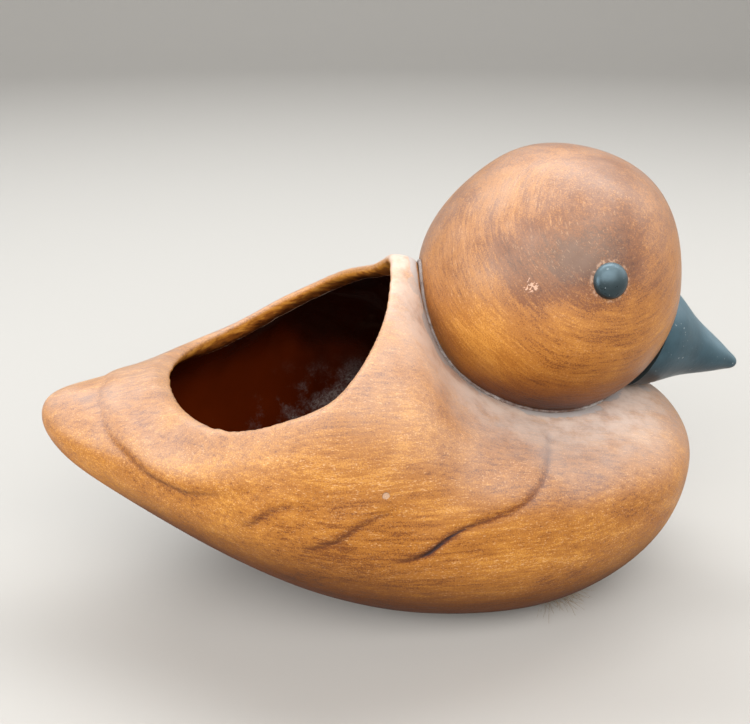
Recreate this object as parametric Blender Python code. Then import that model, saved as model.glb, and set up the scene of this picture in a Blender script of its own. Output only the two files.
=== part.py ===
"""Slip-cast ceramic duckling planter: an open-backed body with a ball head, painted beak and eyes.

Frame: metres, +Z up, +X towards the beak, +Y the duckling's left. The origin is the middle of the
length, on the surface that the felt pad stands on. All named sizes below are in millimetres.
"""

import math

import bmesh
import bpy
import numpy as np
from mathutils import Matrix, Vector

MM = 0.001

# ---- driving dimensions -------------------------------------------------------------------
TAIL_X = -117.5          # tail tip
BREAST_X = 100.5         # front of the breast
BEAK_TIP = (117.5, 0.0, 73.0)
WALL = 3.8               # thickness of the cast wall
GAP = 0.3                # clearance between pieces that touch
FELT_THICKNESS = 1.2
FOOT_Z = FELT_THICKNESS + GAP   # height of the flat foot under the body
FELT_CENTRE_X = 20.0
FELT_HALF = (49.0, 31.0)        # half length and half width of the felt pad
HEAD_CENTRE = (48.3, 0.0, 105.9)
HEAD_HALF = (42.3, 42.3, 43.6)  # half sizes of the head ball
CROWN_SHIFT = 2.8        # how far the upper head leans towards the beak
LEAN_PEAK = 0.186        # greatest value of h^3 (1 - h^2), the lean's course up the ball
SLIP_THICKNESS = 1.2     # joining slip between the head and its seat
SEAT = SLIP_THICKNESS + 2 * GAP   # how far the seat's hollow lies off the head ball
TAIL_SOLID = 9.0         # solid clay at the tail tip and the breast, beyond the hollow
SLIP_PROUD = 0.9         # how far the slip stands out of the groove around the neck
NECK_TILT = 20.0         # degrees that the neck's axis leans back from straight down
NECK_HOLE = 12.0         # radius of the head's open neck
NECK_HOLE_REACH = 60.0   # from the head's centre to past the slip
VENT_RADIUS = 4.0        # air hole from the neck into the bowl
VENT_SPAN = (30.0, 65.0)  # where the air hole starts and ends, from the head's centre
BEAK_PITCH = 20.5        # degrees that the beak points below the horizontal
EYE_RADIUS = 5.3
EYE_DEPTH = 3.2          # how far an eye stands out of the head
EYE_ROOT = 3.0           # how far an eye reaches into the head before it is trimmed to the ball
EYE_DIRECTION = (0.17, 0.94, 0.29)

# ---- outlines of the body, (x, value) -----------------------------------------------------
BACK = [(-117.5, 65), (-116.3, 69), (-110.5, 72), (-98.5, 74), (-83.5, 77.5), (-69.5, 82.5),
        (-43.5, 96), (-24, 105), (-13, 106), (-6, 106), (0, 104), (5, 98), (10, 89.5), (18, 80.5),
        (30, 74), (46, 70), (62, 69.5), (76, 68.5), (88, 64.8), (96, 58), (100.5, 49)]
# Narrow ridge that the back raises behind the head, added to the back outline
RIDGE = [(-117.5, 0), (-60, 0), (-26, 0), (-16, 3.5), (-8, 8.0), (-3, 10.2), (0, 11.8), (3.5, 15),
         (6.5, 17.5), (10, 15), (15, 5), (22, 0), (60, 0), (100.5, 0)]
# Half width at which the ridge has fallen to a third
RIDGE_SPREAD = [(-117.5, 20), (-60, 20), (-26, 20), (-8, 19.5), (0, 15), (7, 9.5), (13, 8.5), (22, 8.5),
                (60, 8.5), (100.5, 8.5)]
BELLY = [(-117.5, 65), (-116.5, 60.5), (-111.5, 53), (-98.5, 42), (-78.5, 29.5), (-53.5, 15),
         (-28.5, 3), (-3.5, -4), (26.5, -6), (51.5, -4), (71.5, 3), (86.5, 15.5), (96, 32),
         (100.5, 49)]
HALF_WIDTH = [(-117.5, 0), (-115, 7), (-108.5, 15), (-95.5, 25), (-78.5, 37.5), (-58.5, 50.5),
              (-33.5, 61), (-13.5, 63), (11.5, 62), (36.5, 60), (56.5, 55), (77, 45), (90, 32),
              (97.5, 16), (100.5, 0)]
WIDEST_Z = [(-117.5, 65), (-98.5, 62), (-63.5, 59), (-23.5, 58), (0, 52.5), (56.5, 49), (86.5, 49),
            (100.5, 49)]
UPPER_FULLNESS = [(-117.5, 2.0), (-73.5, 2.2), (-45, 2.75), (-24, 2.85), (-8, 2.45), (8, 2.5),
                  (24, 2.9), (45, 2.8), (70, 2.3), (100.5, 2.0)]
LOWER_FULLNESS = [(-117.5, 2.0), (-23.5, 2.0), (36.5, 2.17), (65, 2.05), (100.5, 2.07)]
# Side view of the scooped opening, from the tail end up to the neck
SCOOP = [(-82, 81), (-78, 79.2), (-72, 77.6), (-60, 77.3), (-48.5, 80.2), (-38.5, 84.2), (-27.5, 88.7),
         (-20.5, 93.2), (-14.5, 98.7), (-8.5, 105), (-5.5, 109.3), (-3.7, 114.2), (-3.0, 121)]
# Plan of the mouth inside the rim, (x, half width)
MOUTH_ENDS = (-74.5, -3.8)
MOUTH_HALF = 51.0
MOUTH_WIDEST = -30.0
MOUTH_NECK_POWER = 1.2
# Half outline of the beak, (distance back from the tip, radius)
BEAK = [(0, 0), (0.5, 1.3), (1.6, 2.2), (3.6, 3.1), (8, 5.1), (15, 8.0), (21, 10.6), (25, 12.8),
        (28, 14.6), (32, 16.8), (38, 19.0)]

RINGS = 48               # stations along the body
NECK_STATIONS = (-2, 1, 3, 5, 7, 9, 11, 14)   # further stations through the neck's ridge
AROUND = 36              # points around each station
MIDDLE_X = (TAIL_X + BREAST_X) / 2
HALF_LENGTH = (BREAST_X - TAIL_X) / 2


# ---- small helpers ------------------------------------------------------------------------
def angle_of(x):
    """Station angle: 0 at the tail tip and pi at the breast, so both ends come out round."""
    return math.acos(max(-1.0, min(1.0, (MIDDLE_X - x) / HALF_LENGTH)))


def smooth_curve(points):
    """Natural cubic through (x, value) points, read by station angle."""
    knots = np.array([angle_of(x) for x, _ in points])
    values = np.array([value for _, value in points], float)
    step = np.diff(knots)
    slope = np.diff(values) / step
    count = len(points)
    system = np.eye(count)
    right = np.zeros(count)
    for i in range(1, count - 1):
        system[i, i - 1:i + 2] = (step[i - 1], 2 * (step[i - 1] + step[i]), step[i])
        right[i] = 6 * (slope[i] - slope[i - 1])
    bend = np.linalg.solve(system, right)

    def value_at(angle):
        i = int(np.clip(np.searchsorted(knots, angle) - 1, 0, count - 2))
        before = angle - knots[i]
        after = knots[i + 1] - angle
        h = step[i]
        return ((bend[i] * after ** 3 + bend[i + 1] * before ** 3) / (6 * h)
                + (values[i] / h - bend[i] * h / 6) * after
                + (values[i + 1] / h - bend[i + 1] * h / 6) * before)

    return value_at


def add_object(name, mesh_data, material=None):
    mesh = bpy.data.meshes.new(name)
    mesh_data.normal_update()
    mesh_data.to_mesh(mesh)
    mesh_data.free()
    piece = bpy.data.objects.new(name, mesh)
    bpy.context.collection.objects.link(piece)
    if material:
        mesh.materials.append(material)
        mesh.shade_smooth()
        mesh.set_sharp_from_angle(angle=math.radians(40))
    return piece


def guide(piece):
    """Marks a construction solid that is not part of the planter."""
    piece.hide_render = True
    piece.display_type = 'WIRE'
    return piece


def combine(piece, other, operation='DIFFERENCE'):
    cut = piece.modifiers.new(operation.title() + '_' + other.name, 'BOOLEAN')
    cut.operation = operation
    cut.solver = 'EXACT'
    cut.object = other
    return cut


def clay(name, colour, roughness):
    material = bpy.data.materials.new(name)
    material.use_nodes = True
    shader = material.node_tree.nodes['Principled BSDF']
    shader.inputs['Base Color'].default_value = (*colour, 1.0)
    shader.inputs['Roughness'].default_value = roughness
    shader.inputs['Metallic'].default_value = 0.0
    return material


# ---- shapes -------------------------------------------------------------------------------
def signed_power(value, power):
    return math.copysign(abs(value) ** power, value)


def under_head(x, y, offset):
    """Height of the head ball's underside above (x, y), the ball grown by offset; no limit beside it."""
    half = [size + offset for size in HEAD_HALF]
    inside = 1 - ((x - HEAD_CENTRE[0]) / half[0]) ** 2 - (y / half[1]) ** 2
    return HEAD_CENTRE[2] - half[2] * math.sqrt(inside) if inside > 0 else math.inf


def body_form(name, inset=0.0, ends=0.0, rings=RINGS, around=AROUND, extra=NECK_STATIONS):
    """The body's closed outer form with its flat foot; an inset one lines the inside of the wall.

    inset moves the surface inwards, also off the head's seat, and ends shortens the form.
    """
    back, belly = smooth_curve(BACK), smooth_curve(BELLY)
    half_width, widest = smooth_curve(HALF_WIDTH), smooth_curve(WIDEST_Z)
    upper, lower = smooth_curve(UPPER_FULLNESS), smooth_curve(LOWER_FULLNESS)
    ridge, spread = smooth_curve(RIDGE), smooth_curve(RIDGE_SPREAD)

    def shrunk(size):
        return size * size / (size + inset) if inset > 0 and size > 0 else max(size - inset, 0.0)

    data = bmesh.new()
    rows = []
    stations = sorted([math.pi * i / rings for i in range(rings + 1)] + [angle_of(x) for x in extra])
    for angle in stations:
        x = MIDDLE_X - (HALF_LENGTH - ends) * math.cos(angle)
        centre = widest(angle)
        if angle in (0, math.pi):
            rows.append([data.verts.new((x * MM, 0, centre * MM))])
            continue
        width = shrunk(half_width(angle))
        rise, drop = shrunk(back(angle) - centre), shrunk(centre - belly(angle))
        row = []
        for j in range(around):
            turn = 2 * math.pi * j / around
            side, up = math.cos(turn), math.sin(turn)
            power = 2 / (upper(angle) if up > 0 else lower(angle))
            y = width * signed_power(side, power)
            z = centre + (rise if up > 0 else drop) * signed_power(up, power)
            if up > 0:
                z += ridge(angle) * math.exp(-(y / spread(angle)) ** 2) * up
            if inset > 0:
                z = min(z, under_head(x, y, SEAT + inset))
            z = max(z, FOOT_Z + inset)
            row.append(data.verts.new((x * MM, y * MM, z * MM)))
        rows.append(row)
    for a, b in zip(rows, rows[1:]):
        for j in range(around):
            k = (j + 1) % around
            corners = [a[j % len(a)], a[k % len(a)], b[k % len(b)], b[j % len(b)]]
            data.faces.new(list(dict.fromkeys(corners)))
    bmesh.ops.recalc_face_normals(data, faces=data.faces)
    return add_object(name, data)


def ball_form(name, grow=0.0, segments=40, rings=20):
    """The head's ball with its crown leaning forward; grow moves its surface outwards."""
    data = bmesh.new()
    bmesh.ops.create_uvsphere(data, u_segments=segments, v_segments=rings, radius=1.0)
    for vertex in data.verts:
        height = max(vertex.co.z, 0.0)
        lean = CROWN_SHIFT * height ** 3 * (1 - height ** 2) / LEAN_PEAK
        for axis in range(3):
            vertex.co[axis] *= HEAD_HALF[axis] + grow
        vertex.co.x += lean
        vertex.co = (vertex.co + Vector(HEAD_CENTRE)) * MM
    return add_object(name, data)


def rod(name, start, direction, length, radius, segments=24):
    """A closed cylinder that starts at a point and runs along a direction."""
    data = bmesh.new()
    bmesh.ops.create_cone(data, cap_ends=True, segments=segments, radius1=radius * MM,
                          radius2=radius * MM, depth=length * MM)
    turn = Vector((0, 0, 1)).rotation_difference(Vector(direction)).to_matrix().to_4x4()
    middle = Vector(start) + Vector(direction).normalized() * length / 2
    bmesh.ops.transform(data, matrix=Matrix.Translation(middle * MM) @ turn, verts=data.verts)
    return add_object(name, data)


def scoop_cutter(name, half_width=90.0, top=170.0):
    """Everything above the opening's side outline, as one block across the body."""
    outline = [(SCOOP[0][0], top), *SCOOP, (SCOOP[-1][0], top)]
    data = bmesh.new()
    face = data.faces.new([data.verts.new((x * MM, -half_width * MM, z * MM)) for x, z in outline])
    grown = bmesh.ops.extrude_face_region(data, geom=[face])
    moved = [item for item in grown['geom'] if isinstance(item, bmesh.types.BMVert)]
    bmesh.ops.translate(data, verts=moved, vec=(0, 2 * half_width * MM, 0))
    bmesh.ops.recalc_face_normals(data, faces=data.faces)
    return add_object(name, data)


def mouth_cutter(name, low=60.0, high=170.0, points=20):
    """A straight-sided plug through the opening: round at the tail end, drawn in towards the neck."""
    tail, neck = MOUTH_ENDS
    outline = []
    for i in range(points + 1):
        turn = math.pi * i / points
        end, power = (tail, 1.0) if turn < math.pi / 2 else (neck, MOUTH_NECK_POWER)
        x = MOUTH_WIDEST + (end - MOUTH_WIDEST) * abs(math.cos(turn))
        outline.append((x, MOUTH_HALF * math.sin(turn) ** power))
    outline += [(x, -y) for x, y in outline[-2:0:-1]]
    data = bmesh.new()
    face = data.faces.new([data.verts.new((x * MM, y * MM, low * MM)) for x, y in outline])
    grown = bmesh.ops.extrude_face_region(data, geom=[face])
    moved = [item for item in grown['geom'] if isinstance(item, bmesh.types.BMVert)]
    bmesh.ops.translate(data, verts=moved, vec=(0, 0, (high - low) * MM))
    bmesh.ops.recalc_face_normals(data, faces=data.faces)
    return add_object(name, data)


def turned(name, profile, segments, tip, direction, material=None):
    """A solid of revolution: profile is (distance back from the tip, radius), closed by a flat cap."""
    data = bmesh.new()
    rows = []
    for back, radius in profile:
        if radius == 0:
            rows.append([data.verts.new((0, 0, -back * MM))])
            continue
        rows.append([data.verts.new((radius * math.cos(turn) * MM, radius * math.sin(turn) * MM, -back * MM))
                     for turn in (2 * math.pi * j / segments for j in range(segments))])
    for a, b in zip(rows, rows[1:]):
        for j in range(segments):
            k = (j + 1) % segments
            corners = [a[j % len(a)], a[k % len(a)], b[k % len(b)], b[j % len(b)]]
            data.faces.new(list(dict.fromkeys(corners)))
    data.faces.new(rows[-1])
    turn = Vector((0, 0, 1)).rotation_difference(Vector(direction)).to_matrix().to_4x4()
    bmesh.ops.transform(data, matrix=Matrix.Translation(Vector(tip) * MM) @ turn, verts=data.verts)
    bmesh.ops.recalc_face_normals(data, faces=data.faces)
    return add_object(name, data, material)


def surface_point(direction):
    """Where a ray from the head's centre leaves the ball, and the ray's unit direction."""
    ray = Vector(direction).normalized()
    reach = 1 / math.sqrt(sum((ray[i] / HEAD_HALF[i]) ** 2 for i in range(3)))
    return Vector(HEAD_CENTRE) + ray * reach, ray


# ---- pieces -------------------------------------------------------------------------------
def neck_direction():
    tilt = math.radians(NECK_TILT)
    return Vector((-math.sin(tilt), 0, -math.cos(tilt)))


def neck_hole(name):
    return rod(name, Vector(HEAD_CENTRE), neck_direction(), NECK_HOLE_REACH, NECK_HOLE)


def finish(piece, material):
    piece.data.materials.append(material)
    piece.data.shade_smooth()
    piece.data.set_sharp_from_angle(angle=math.radians(40))
    return piece


def make_body():
    body = body_form('body_shell')
    combine(body, guide(scoop_cutter('scoop')))
    combine(body, guide(body_form('cavity', WALL, TAIL_SOLID, 36, 32, (2, 5, 8, 12))))
    combine(body, guide(mouth_cutter('mouth')))
    combine(body, guide(ball_form('head_seat', SEAT)))
    start = Vector(HEAD_CENTRE) + neck_direction() * VENT_SPAN[0]
    length = VENT_SPAN[1] - VENT_SPAN[0]
    combine(body, guide(rod('vent', start, neck_direction(), length, VENT_RADIUS)))
    return finish(body, clay('stained_clay', (0.36, 0.13, 0.045), 0.48))


def make_head():
    head = ball_form('head_shell')
    combine(head, guide(ball_form('head_hollow', -WALL, 32, 16)))
    combine(head, guide(neck_hole('neck_hole')))
    return finish(head, clay('stained_head', (0.32, 0.11, 0.04), 0.45))


def make_slip():
    """The layer of slip that joins the head to its seat and shows as a pale line round the neck."""
    slip = ball_form('neck_slip_joint', GAP + SLIP_THICKNESS)
    combine(slip, guide(ball_form('slip_inside', GAP)))
    combine(slip, guide(body_form('slip_reach', -SLIP_PROUD)), 'INTERSECT')
    combine(slip, guide(neck_hole('slip_hole')))
    return finish(slip, clay('pale_slip', (0.42, 0.36, 0.31), 0.85))


def make_beak():
    pitch = math.radians(BEAK_PITCH)
    direction = Vector((math.cos(pitch), 0, -math.sin(pitch)))
    material = clay('slate_paint', (0.018, 0.024, 0.030), 0.5)
    beak = turned('beak', BEAK, 32, BEAK_TIP, direction, material)
    combine(beak, guide(ball_form('beak_seat', GAP)))
    combine(beak, guide(body_form('breast_clearance', -GAP)))
    return beak


def make_eye(name, side):
    surface, outward = surface_point((EYE_DIRECTION[0], side * EYE_DIRECTION[1], EYE_DIRECTION[2]))
    profile = [(EYE_DEPTH * (1 - math.cos(angle)), EYE_RADIUS * math.sin(angle))
               for angle in (math.radians(15 * k) for k in range(7))]
    profile[0] = (0.0, 0.0)
    profile.append((EYE_DEPTH + EYE_ROOT, EYE_RADIUS))
    material = clay('gloss_paint_' + name, (0.012, 0.018, 0.026), 0.22)
    eye = turned(name, profile, 24, surface + outward * EYE_DEPTH, outward, material)
    combine(eye, guide(ball_form('seat_of_' + name, GAP)))
    return eye


def make_felt():
    data = bmesh.new()
    bmesh.ops.create_cone(data, cap_ends=True, segments=48, radius1=MM, radius2=MM,
                          depth=FELT_THICKNESS * MM)
    for vertex in data.verts:
        vertex.co.x = vertex.co.x * FELT_HALF[0] + FELT_CENTRE_X * MM
        vertex.co.y *= FELT_HALF[1]
        vertex.co.z += FELT_THICKNESS * MM / 2
    return add_object('base_felt', data, clay('felt', (0.48, 0.40, 0.30), 0.95))


def main():
    for old in list(bpy.data.objects):
        bpy.data.objects.remove(old, do_unlink=True)
    make_body()
    make_head()
    make_slip()
    make_beak()
    make_eye('eye_right', -1)
    make_eye('eye_left', 1)
    make_felt()


main()
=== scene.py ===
"""The looks of a slip-cast ceramic duckling planter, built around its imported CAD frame.

Shapes are worked out in millimetres, in the row frame: +X towards the beak, +Y the duckling's left, +Z up,
with the origin on the floor. The body, head, joint, beak, eyes and felt repeat the CAD's own outlines
at a fine resolution, and add the rounded lip, the wings' relief, the glaze, the stain and the wear.
"""
import math
import random

import bmesh
import bpy
import numpy as np
from mathutils import Matrix, Vector, noise


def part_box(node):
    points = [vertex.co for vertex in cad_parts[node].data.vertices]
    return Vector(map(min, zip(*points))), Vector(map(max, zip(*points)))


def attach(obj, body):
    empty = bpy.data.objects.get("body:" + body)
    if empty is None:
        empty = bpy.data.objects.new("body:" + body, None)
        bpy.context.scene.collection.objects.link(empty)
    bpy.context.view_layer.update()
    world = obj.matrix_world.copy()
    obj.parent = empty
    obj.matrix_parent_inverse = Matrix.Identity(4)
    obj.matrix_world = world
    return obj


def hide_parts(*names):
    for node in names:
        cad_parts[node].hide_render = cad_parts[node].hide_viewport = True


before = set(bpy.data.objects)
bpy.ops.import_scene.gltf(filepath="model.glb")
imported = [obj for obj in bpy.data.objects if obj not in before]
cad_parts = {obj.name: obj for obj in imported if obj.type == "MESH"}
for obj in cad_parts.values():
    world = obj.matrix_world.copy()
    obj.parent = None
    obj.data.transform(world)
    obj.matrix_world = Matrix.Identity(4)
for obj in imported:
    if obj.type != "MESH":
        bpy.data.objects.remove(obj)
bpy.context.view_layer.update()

MM = 0.001

# ---- sizes that repeat the CAD ------------------------------------------------------------
TAIL_X, BREAST_X = -117.5, 100.5
BEAK_TIP = (117.5, 0.0, 73.0)
WALL = 3.8
FOOT_Z = 1.5
HEAD_CENTRE = np.array((48.3, 0.0, 105.9))
HEAD_HALF = np.array((42.3, 42.3, 43.6))
CROWN_SHIFT = 2.8
LEAN_PEAK = 0.186        # greatest value of h^3 (1 - h^2), the crown's lean up the ball
TAIL_SOLID = 9.0
NECK_TILT = math.radians(20.0)
VENT_RADIUS = 4.0
VENT_START, VENT_LENGTH = 30.0, 35.0
BEAK_PITCH = math.radians(20.5)
EYE_RADIUS, EYE_DEPTH, EYE_ROOT = 5.3, 3.2, 3.0
EYE_DIRECTION = (0.17, 0.94, 0.29)

# ---- outlines that repeat the CAD, (x, value) ---------------------------------------------
BACK = [(-117.5, 65), (-116.3, 69), (-110.5, 72), (-98.5, 74), (-83.5, 77.5), (-69.5, 82.5),
        (-43.5, 96), (-24, 105), (-13, 106), (-6, 106), (0, 104), (5, 98), (10, 89.5), (18, 80.5),
        (30, 74), (46, 70), (62, 69.5), (76, 68.5), (88, 64.8), (96, 58), (100.5, 49)]
RIDGE = [(-117.5, 0), (-60, 0), (-26, 0), (-16, 3.5), (-8, 8.0), (-3, 10.2), (0, 11.8), (3.5, 15),
         (6.5, 17.5), (10, 15), (15, 5), (22, 0), (60, 0), (100.5, 0)]
RIDGE_SPREAD = [(-117.5, 20), (-60, 20), (-26, 20), (-8, 19.5), (0, 15), (7, 9.5), (13, 8.5), (22, 8.5),
                (60, 8.5), (100.5, 8.5)]
BELLY = [(-117.5, 65), (-116.5, 60.5), (-111.5, 53), (-98.5, 42), (-78.5, 29.5), (-53.5, 15),
         (-28.5, 3), (-3.5, -4), (26.5, -6), (51.5, -4), (71.5, 3), (86.5, 15.5), (96, 32),
         (100.5, 49)]
HALF_WIDTH = [(-117.5, 0), (-115, 7), (-108.5, 15), (-95.5, 25), (-78.5, 37.5), (-58.5, 50.5),
              (-33.5, 61), (-13.5, 63), (11.5, 62), (36.5, 60), (56.5, 55), (77, 45), (90, 32),
              (97.5, 16), (100.5, 0)]
WIDEST_Z = [(-117.5, 65), (-98.5, 62), (-63.5, 59), (-23.5, 58), (0, 52.5), (56.5, 49), (86.5, 49),
            (100.5, 49)]
UPPER_FULLNESS = [(-117.5, 2.0), (-73.5, 2.2), (-45, 2.75), (-24, 2.85), (-8, 2.45), (8, 2.5),
                  (24, 2.9), (45, 2.8), (70, 2.3), (100.5, 2.0)]
LOWER_FULLNESS = [(-117.5, 2.0), (-23.5, 2.0), (36.5, 2.17), (65, 2.05), (100.5, 2.07)]
SCOOP = [(-82, 81), (-78, 79.2), (-72, 77.6), (-60, 77.3), (-48.5, 80.2), (-38.5, 84.2), (-27.5, 88.7),
         (-20.5, 93.2), (-14.5, 98.7), (-8.5, 105), (-5.5, 109.3), (-3.7, 114.2), (-3.0, 121)]
MOUTH_ENDS = (-74.5, -3.8)
MOUTH_HALF = 51.0
MOUTH_WIDEST = -30.0
MOUTH_NECK_POWER = 1.2
BEAK = [(0, 0), (0.5, 1.3), (1.6, 2.2), (3.6, 3.1), (8, 5.1), (15, 8.0), (21, 10.6), (25, 12.8),
        (28, 14.6), (32, 16.8), (38, 19.0)]

MIDDLE_X = (TAIL_X + BREAST_X) / 2
HALF_LENGTH = (BREAST_X - TAIL_X) / 2

# ---- detail that only the looks have ------------------------------------------------------
BODY_MESH = (180, 144)   # rings along and points around
CAVITY_MESH = (150, 120)
BREAST_MESH = (120, 96)
BODY_VOXEL = 0.80        # grain of the body's fine mesh
BODY_FACES = 105000      # triangles that the body keeps
HEAD_MESH = (168, 84)    # points around and rings
SEAT_MESH = (96, 48)     # the head ball that is cut out of the body
FINE_SEAT_MESH = (120, 60)   # the head ball that is cut out of the beak and the eyes
CUTTER_TOP = 170.0       # above the whole body
CUTTER_SIDE = 90.0       # beyond the body's sides
MOUTH_BOTTOM = 60.0      # inside the cavity, under the whole mouth
HEAD_CLEARANCE = 0.25    # gap between the head ball and the visible body's seat
LIP_PASSES = 12          # smoothing passes, which round the lip of the opening
LIP_TOP = 0.8            # how far down from the lip's crest still counts as outside
LIP_WEAR = 3.2           # how far from the crest the lip is rubbed
GLAZE_DEPTH = 6.8        # how far below the lip the glaze starts
GLAZE_PASSES = 6         # smoothing passes over the glaze's edge
JOINT_MESH = (300, 12)   # places along and points around
JOINT_RADIUS = 0.75      # half thickness of the slip that shows in the neck's groove
HEAD_UNEVEN = 0.14       # how far the hand-finished ball strays from true
HEAD_LUMP = 17.0         # size of its unevenness
BREAST_CLEARANCE = 0.25  # gap between the beak and the breast
BEAK_CLEARANCE = 0.10    # gap between the beak and the head
EYE_CLEARANCE = 0.05     # gap between an eye and the head
FELT_MESH = (150, 14)    # points around and rings
FELT_UNEVEN = 0.012      # how far the felt's edge strays, as a share of its half size
FIBRES = 700             # loose fibres tried round the felt's edge
FIBRE_SEGMENTS = 5
FIBRE_SEED = 11
# frayed tufts at the felt's edge: angle round it, how far it spreads, longest fibre, fibres
TUFTS = [(-50, 4, 12.0, 130), (-41, 3, 10.5, 60), (47, 5, 7.5, 36), (118, 4, 5.0, 24), (-150, 4, 5.0, 24)]
STROKE_POLE = Vector((0.22, 0.72, 0.66))   # the brush strokes ring this direction on each side of the head
# where the head's side reaches in an eye's direction, from its centre
EYE_PLACE = tuple(float(HEAD_HALF[0]) * Vector(EYE_DIRECTION).normalized())
CHIP_AT, CHIP_RADIUS = (-11.5, -62.5, 65.0), 1.25
SCRATCH_AT, SCRATCH_RADIUS = (33.0, -37.5, 117.0), 2.6
SLIP_PATCHES = [((3.5, 8.5, 108.0), 3.4), ((84.0, 5.0, 67.0), 2.4)]   # the same on both sides
# soft patches on the head, the same on both sides: centre, radius and change of tone
HEAD_PATCHES = [((34, 38, 124), 19, -0.31), ((52, 38, 124), 18, -0.36),
                ((22, 28, 93), 22, 0.14), ((46, 26, 74), 16, -0.14)]

# Relief on the flanks. Each line runs over the surface as (x, distance from the middle plane, z, strength),
# with the raised side on its left as seen from outside with the duckling facing right.
WING_FRONT = [(43, 31, 69, 0.0), (41.5, 38.5, 68, 0.55), (40, 45, 66.5, 0.75), (36, 55, 63, 0.65),
              (31.5, 59, 59, 0.6), (26.5, 60.5, 56.5, 0.6), (19, 61.5, 54, 0.75), (9, 62, 50.5, 1.0),
              (5.5, 62, 48, 1.25), (1.5, 62, 44.5, 1.3), (-1, 62, 43, 0.8), (-5, 61.5, 42, 0.4),
              (-10, 61.5, 41.5, 0.0)]
MIDDLE_FEATHER = [(-7, 62.5, 60, 0.0), (-10.5, 62.5, 59, 0.5), (-16, 63, 56.5, 1.0), (-20, 62.5, 54, 1.0),
                  (-25, 61.5, 50, 0.9), (-28, 61, 48.5, 0.6), (-32.5, 59.5, 46.5, 0.35), (-38, 57, 45.5, 0.0)]
REAR_FEATHER = [(-31, 61, 61.5, 0.0), (-35, 60.5, 61, 0.4), (-39.5, 59, 60, 0.8), (-42.5, 58, 59, 1.0),
                (-46, 56.5, 56, 1.0), (-49, 54.5, 53, 0.9), (-51.5, 53, 50.5, 0.0)]
TAIL_STEP = [(-42, 58, 65.5, 0.0), (-49.5, 55, 64, 0.25), (-54, 52.5, 62, 0.4), (-61, 49, 60, 0.7),
             (-69.5, 43.5, 58.5, 0.9), (-75, 40, 59.5, 1.0), (-80.5, 36, 61, 1.1), (-86, 31, 64.5, 1.1),
             (-90.5, 26.5, 67, 0.9), (-93.5, 22, 69, 0.75), (-95.5, 15, 72.5, 0.6), (-97, 7.5, 74.5, 0.6),
             (-95, 0, 75.5, 0.6)]
WING_VALLEY = [(-54.5, 49.5, 73.5, 0.0), (-63.5, 44, 71.5, 0.5), (-69.5, 39, 71, 0.7), (-76, 33.5, 71, 0.7),
               (-82.5, 24.5, 73, 0.6), (-87, 16.5, 75, 0.4), (-89, 8, 76, 0.0)]
CHEST_CREASE = [(48, 57, 54, 0.0), (60.5, 53.5, 50, 0.5), (68.5, 50, 46.5, 0.8), (79.5, 42.5, 40.5, 1.0),
                (88, 31, 36, 0.0)]
# line, lift of the raised side, where it peaks, depth and half width of the groove, stain left in it
RELIEF = [(WING_FRONT, 0.75, 3.6, 0.55, 1.25, 1.0), (MIDDLE_FEATHER, 0.64, 3.4, 0.26, 1.4, 0.65),
          (REAR_FEATHER, 0.62, 3.4, 0.24, 1.4, 0.60), (TAIL_STEP, 1.15, 4.2, 0.22, 1.6, 0.40),
          (WING_VALLEY, 0.25, 4.0, 0.35, 3.5, 0.50), (CHEST_CREASE, 0.10, 4.0, 0.22, 2.6, 0.50)]
RELIEF_REACH = 26.0      # how far from its line a relief is worked out
RELIEF_BACK = 0.28       # how deep the far side of a line dips, as a share of its lift
RELIEF_END = 3.0         # how far a line fades past its ends
STAIN_LIMIT = 1.25       # greatest strength that adds to the stain

# ---- colours, linear red, green and blue --------------------------------------------------
# stain from the thickest to the most rubbed
STAIN_STOPS = [(0.0, (0.065, 0.015, 0.004)), (0.26, (0.17, 0.048, 0.007)), (0.50, (0.36, 0.132, 0.019)),
               (0.72, (0.52, 0.225, 0.038)), (1.0, (0.74, 0.40, 0.13))]
TONE_DROP = 0.52                         # taken from the sum of the stain's noises
# worn specks, partly painted glints along the strokes
WORN_AND_GLINT = (0.80, 0.50, 0.27)
POOLED = (0.16, 0.050, 0.045)
THICK = (0.030, 0.022, 0.034)
# dust and painted sheen: pale dust on what faces up, and a painted sheen of the light above
DUST_AND_SHEEN = (0.68, 0.65, 0.64)
# painted shade on what faces down, partly thicker stain; less of it under the tail, painted as lit from the
# left
UNDERSIDE_STAIN_AND_SHADE = (0.20, 0.10, 0.018)
TAIL_UNDERSIDE_STAIN_AND_SHADE = (0.80, 0.70, 0.55)
# the head's dust and painted sheen
HEAD_DUST_AND_SHEEN = (0.70, 0.57, 0.50)
# painted shade under the head, partly thicker stain
HEAD_UNDERSIDE_STAIN_AND_SHADE = (0.36, 0.24, 0.085)
RUBBED_LIP = (0.72, 0.36, 0.12)
BAND_STOPS = [(0.10, (0.060, 0.014, 0.003)), (0.30, (0.22, 0.065, 0.010)), (0.50, (0.50, 0.20, 0.030)),
              (0.68, (0.70, 0.36, 0.085))]
GLAZE_STOPS = [(0.20, (0.008, 0.0012, 0.0004)), (0.75, (0.075, 0.009, 0.0008))]
POWDER = (0.20, 0.185, 0.18)
# a pale film round the neck, partly painted light that lifts the head's shadow
FILM_AND_PAINTED_LIGHT = (0.72, 0.61, 0.54)
SMEARED_SLIP = (0.49, 0.48, 0.48)
SLIP_STOPS = [(0.35, (0.24, 0.19, 0.17)), (0.52, (0.44, 0.42, 0.41)), (0.70, (0.26, 0.20, 0.17))]
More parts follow.
